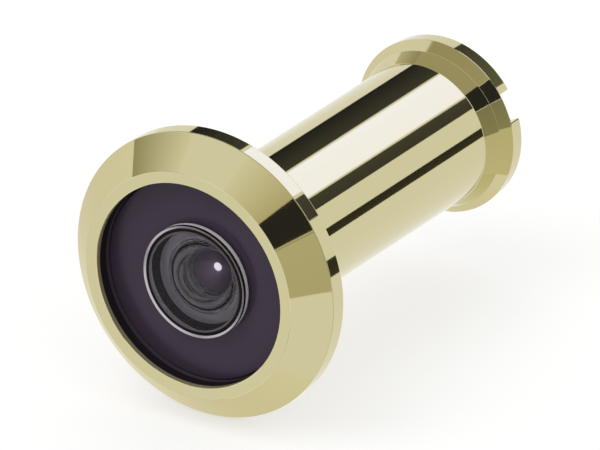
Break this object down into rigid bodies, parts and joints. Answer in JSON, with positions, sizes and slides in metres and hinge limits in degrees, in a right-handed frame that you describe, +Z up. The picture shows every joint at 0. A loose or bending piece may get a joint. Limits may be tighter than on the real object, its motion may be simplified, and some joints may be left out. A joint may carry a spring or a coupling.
{
  "type": "door viewer",
  "caption": "Adjustable door viewer: wide bevelled brass flange with a dark plate and small domed lens, threaded lens tube, and a smooth slotted sleeve that screws over it.",
  "frame": {"origin": "on the viewer's axis, in the plane of the outer flange's back face, which seats on the door's outer face", "axes": "+Y along the axis, from the street side to the eye side; +Z up; the lens faces -Y"},
  "size_m": [0.0276, 0.0428, 0.0276],
  "materials": {
    "brass": "polished",
    "dark_plate": "satin, fine turned lines",
    "glass": "polished, ground at the rim",
    "blackened": "matt black",
    "ring_brass": "turned"
  },
  "bodies": {
    "front_body": {"front_body": "brass", "lens_plate": "dark_plate", "front_lens": "glass", "front_spacer": "blackened", "second_lens": "glass", "lens_spacer": "blackened", "third_lens": "glass", "eyepiece_lens": "glass", "eyepiece_ring": "ring_brass"},
    "spacer_tube": {"spacer_tube": "blackened"},
    "rear_sleeve": {"rear_sleeve": "brass"}
  },
  "joints": [
    {"name": "sleeve_turn", "type": "hinge", "parent": "front_body", "child": "spacer_tube", "pos_m": [0, 0, 0], "axis": [0, 1, 0], "range_deg": [0, 9000]},
    {"name": "sleeve_travel", "type": "slide", "parent": "spacer_tube", "child": "rear_sleeve", "axis": [0, 1, 0], "range_m": [0, 0.025]}
  ],
  "couplings": [
    {"joint": "sleeve_travel", "follows": "sleeve_turn", "m_per_rad": 0.00015915}
  ]
}
